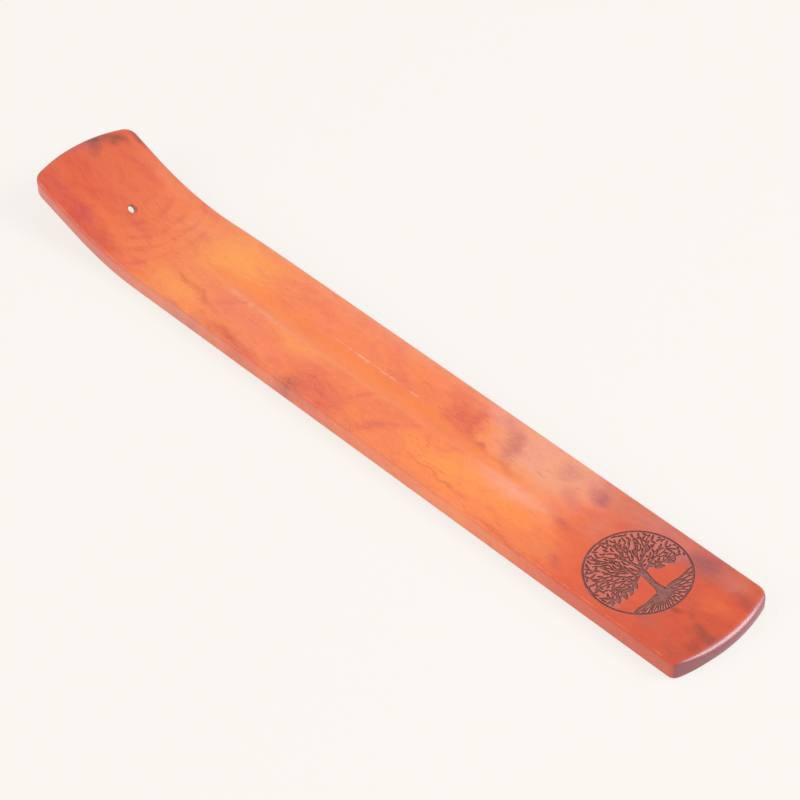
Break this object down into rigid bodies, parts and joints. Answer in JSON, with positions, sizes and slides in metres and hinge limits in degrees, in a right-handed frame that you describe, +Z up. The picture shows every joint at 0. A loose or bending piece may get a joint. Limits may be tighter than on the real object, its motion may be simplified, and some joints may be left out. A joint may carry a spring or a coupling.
{
  "type": "incense stick holder",
  "caption": "Long narrow wooden board turned up at one end, with a slanted hole that holds an incense stick over a shallow groove for the ash and an engraved tree medallion at the flat end.",
  "frame": {"origin": "on the table, under the middle of the board's length and width", "axes": "+X along the board from the raised end to the flat end, +Z up"},
  "size_m": [0.254, 0.0354, 0.0172],
  "materials": {
    "lacquered_wood": "orange-brown stain under a satin lacquer"
  },
  "bodies": {
    "root": {"tray": "lacquered_wood"}
  },
  "joints": []
}
